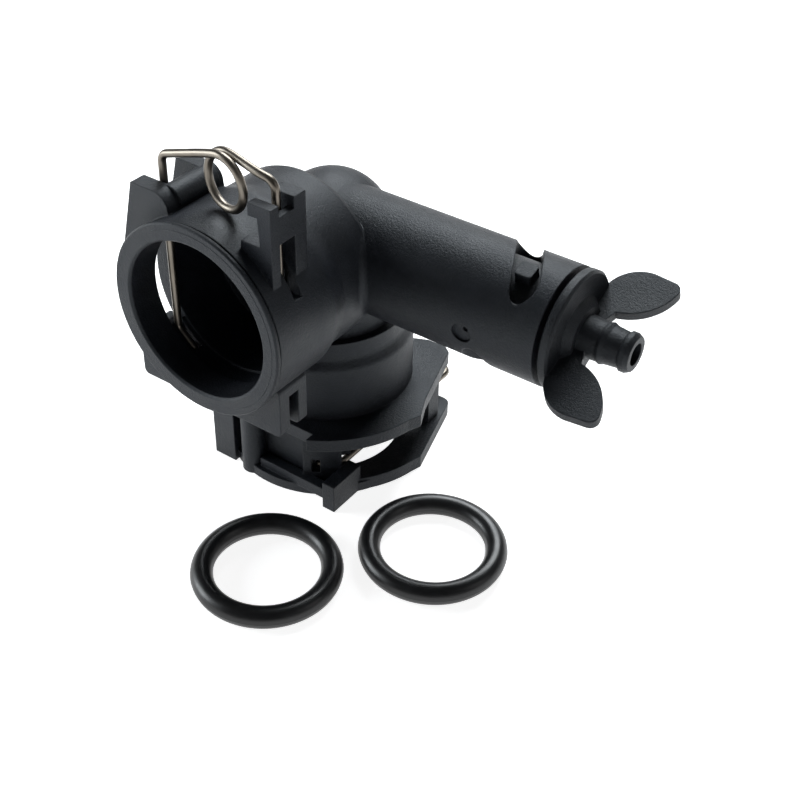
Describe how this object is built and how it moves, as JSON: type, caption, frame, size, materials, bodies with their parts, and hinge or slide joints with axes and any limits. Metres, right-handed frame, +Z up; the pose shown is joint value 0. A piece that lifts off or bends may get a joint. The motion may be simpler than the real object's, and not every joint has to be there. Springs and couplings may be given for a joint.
{
  "type": "plumbing elbow with clip sockets and drain plug",
  "caption": "Moulded pipe elbow with two spring-clip push-in sockets, a drain tube closed by a winged bayonet drain plug with a hose barb, and spare sealing rings.",
  "frame": {"origin": "centre of the lower socket's mouth, on the surface that the part stands on", "axes": "+Z up along the lower socket, -Y out of the front socket, +X along the drain tube towards the plug"},
  "size_m": [0.1067, 0.1007, 0.0933],
  "materials": {
    "nylon_body": "fine-grained moulded nylon, very dark charcoal",
    "nylon_plug": "fine-grained moulded nylon, dark charcoal, slightly lighter than the body",
    "clip_steel": "drawn stainless wire with a warm grey surface",
    "seal_rubber": "smooth black EPDM rubber with a soft sheen",
    "ring_rubber": "smooth black EPDM rubber with a glossy moulded skin"
  },
  "bodies": {
    "elbow": {"elbow_body": "nylon_body"},
    "front_clip_body": {"front_clip": "clip_steel"},
    "lower_clip_body": {"lower_clip": "clip_steel"},
    "plug_carrier": {"plug_ring": "seal_rubber", "tip_ring": "seal_rubber"},
    "plug": {"drain_plug": "nylon_plug"},
    "ring_left": {"loose_ring_left": "ring_rubber"},
    "ring_right": {"loose_ring_right": "ring_rubber"}
  },
  "joints": [
    {"name": "front_clip_slide", "type": "slide", "parent": "elbow", "child": "front_clip_body", "axis": [0, 0, 1], "range_m": [0, 0.024]},
    {"name": "lower_clip_slide", "type": "slide", "parent": "elbow", "child": "lower_clip_body", "axis": [0, 1, 0], "range_m": [0, 0.028]},
    {"name": "plug_slide", "type": "slide", "parent": "elbow", "child": "plug_carrier", "axis": [1, 0, 0], "range_m": [-0.001, 0.002]},
    {"name": "plug_turn", "type": "hinge", "parent": "plug_carrier", "child": "plug", "pos_m": [0.06, 0, 0.0584], "axis": [1, 0, 0], "range_deg": [-11, 22]},
    {"name": "ring_left_lift", "type": "slide", "parent": "elbow", "child": "ring_left", "axis": [0, 0, 1], "range_m": [0, 0.02]},
    {"name": "ring_right_lift", "type": "slide", "parent": "elbow", "child": "ring_right", "axis": [0, 0, 1], "range_m": [0, 0.02]}
  ],
  "couplings": [
    {"joint": "plug_slide", "follows": "plug_turn", "m_per_rad": 0.005157}
  ]
}
